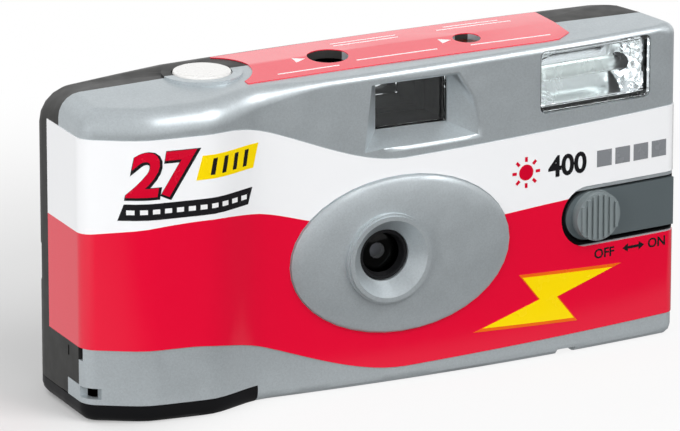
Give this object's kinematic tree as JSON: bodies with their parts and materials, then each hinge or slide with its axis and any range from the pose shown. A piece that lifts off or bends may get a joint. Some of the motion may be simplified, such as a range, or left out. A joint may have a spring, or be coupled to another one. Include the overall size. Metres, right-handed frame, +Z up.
{
  "type": "single-use film camera",
  "caption": "Single-use film camera with a built-in flash: moulded covers, wrap label, fixed lens, viewfinder, shutter button, flash switch, thumbwheel and film door.",
  "frame": {"origin": "under the middle of the camera, on the surface it stands on", "axes": "+X to the right seen from the front, +Y to the back, +Z up"},
  "size_m": [0.1193, 0.0312, 0.0601],
  "materials": {
    "silver_paint": "satin metallic paint over moulded plastic",
    "dark_shell": "fine moulded grain",
    "printed_label": "glossy laminated print",
    "black_moulding": "matt black against stray light",
    "clear_acrylic": "polished clear",
    "button_white": "pearl white",
    "switch_grey": "fine moulded grain",
    "pale_moulding": "natural acetal",
    "spring_steel": "drawn wire and strip",
    "blade_steel": "blackened",
    "brass_strip": "stamped",
    "cartridge_tin": "printed tinplate",
    "film_base": "smooth",
    "reflector_metal": "polished",
    "tube_glass": "clear",
    "board_green": "lacquered",
    "sleeve_blue": "shrink sleeve",
    "ferrite": "matt",
    "copper_wire": "enamelled winding",
    "lamp_orange": "tinted",
    "pipe_amber": "clear amber",
    "battery_wrap": "plain wrapper"
  },
  "bodies": {
    "camera": {"front_cover": "silver_paint", "rear_cover": "dark_shell", "wrap_label": "printed_label", "top_label": "printed_label", "chassis": "black_moulding", "lens_holder": "black_moulding", "lens": "clear_acrylic", "lens_retainer": "black_moulding", "blade_spring": "spring_steel", "striker_spring": "spring_steel", "button_spring": "spring_steel", "ratchet_pawl": "spring_steel", "cartridge_shell": "cartridge_tin", "cartridge_caps": "black_moulding", "film_strip": "film_base", "finder_front_lens": "clear_acrylic", "finder_eyepiece": "clear_acrylic", "flash_window": "clear_acrylic", "flash_reflector": "reflector_metal", "flash_tube": "tube_glass", "tube_electrodes": "spring_steel", "switch_contact": "brass_strip", "circuit_board": "board_green", "flash_capacitor": "sleeve_blue", "transformer": "ferrite", "trigger_coil": "copper_wire", "board_parts": "ferrite", "ready_lamp": "lamp_orange", "light_pipe": "pipe_amber", "battery": "battery_wrap", "battery_contacts": "spring_steel", "sync_contact": "brass_strip"},
    "door": {"film_door": "dark_shell"},
    "button": {"shutter_button": "button_white"},
    "release": {"release_lever": "pale_moulding"},
    "advance": {"thumbwheel": "black_moulding", "cartridge_spool": "black_moulding"},
    "sprocket": {"film_sprocket": "pale_moulding", "metering_cam": "pale_moulding"},
    "counter": {"counter_dial": "button_white"},
    "supply": {"supply_spool": "black_moulding", "film_roll": "film_base"},
    "blade": {"shutter_blade": "blade_steel"},
    "striker": {"striker_lever": "brass_strip"},
    "switch": {"flash_switch": "switch_grey"}
  },
  "joints": [
    {"name": "door_hinge", "type": "hinge", "parent": "camera", "child": "door", "pos_m": [-0.04325, 0.0154, 0.0033], "axis": [1, 0, 0], "range_deg": [0, 100]},
    {"name": "button_press", "type": "slide", "parent": "camera", "child": "button", "axis": [0, 0, -1], "range_m": [0, 0.0012], "stiffness_N_per_m": 800, "springref_m": -0.0006, "deforming": ["button_spring"]},
    {"name": "release_turn", "type": "hinge", "parent": "camera", "child": "release", "pos_m": [-0.0268, -0.0045, 0.0528], "axis": [0, 0, 1], "range_deg": [0, 14.1]},
    {"name": "advance_turn", "type": "hinge", "parent": "camera", "child": "advance", "pos_m": [-0.044, 0.0008, 0.0498], "axis": [0, 0, 1], "continuous": true},
    {"name": "sprocket_turn", "type": "hinge", "parent": "camera", "child": "sprocket", "pos_m": [-0.022, 0.0054, 0.04], "axis": [0, 0, 1], "continuous": true},
    {"name": "counter_turn", "type": "hinge", "parent": "camera", "child": "counter", "pos_m": [-0.0128, 0.0013, 0.0555], "axis": [0, 0, 1], "continuous": true},
    {"name": "supply_turn", "type": "hinge", "parent": "camera", "child": "supply", "pos_m": [0.04567, 0.0042, 0.0245], "axis": [0, 0, 1], "continuous": true},
    {"name": "blade_swing", "type": "hinge", "parent": "camera", "child": "blade", "pos_m": [-0.0105, -0.0066, 0.0325], "axis": [0, -1, 0], "range_deg": [0, 28], "stiffness_Nm_per_rad": 0.0002, "springref_deg": -17.19},
    {"name": "striker_swing", "type": "hinge", "parent": "camera", "child": "striker", "pos_m": [-0.01, -0.003, 0.0502], "axis": [0, 0, -1], "range_deg": [0, 30], "stiffness_Nm_per_rad": 0.0004, "springref_deg": -11.46},
    {"name": "switch_slide", "type": "slide", "parent": "camera", "child": "switch", "axis": [0.9924, 0.1229, 0], "range_m": [0, 0.0055]}
  ],
  "couplings": [
    {"joint": "release_turn", "follows": "button_press", "rad_per_m": 203.6},
    {"joint": "sprocket_turn", "follows": "advance_turn", "ratio": 0.9},
    {"joint": "counter_turn", "follows": "advance_turn", "ratio": -0.03},
    {"joint": "supply_turn", "follows": "advance_turn", "ratio": 0.64}
  ]
}
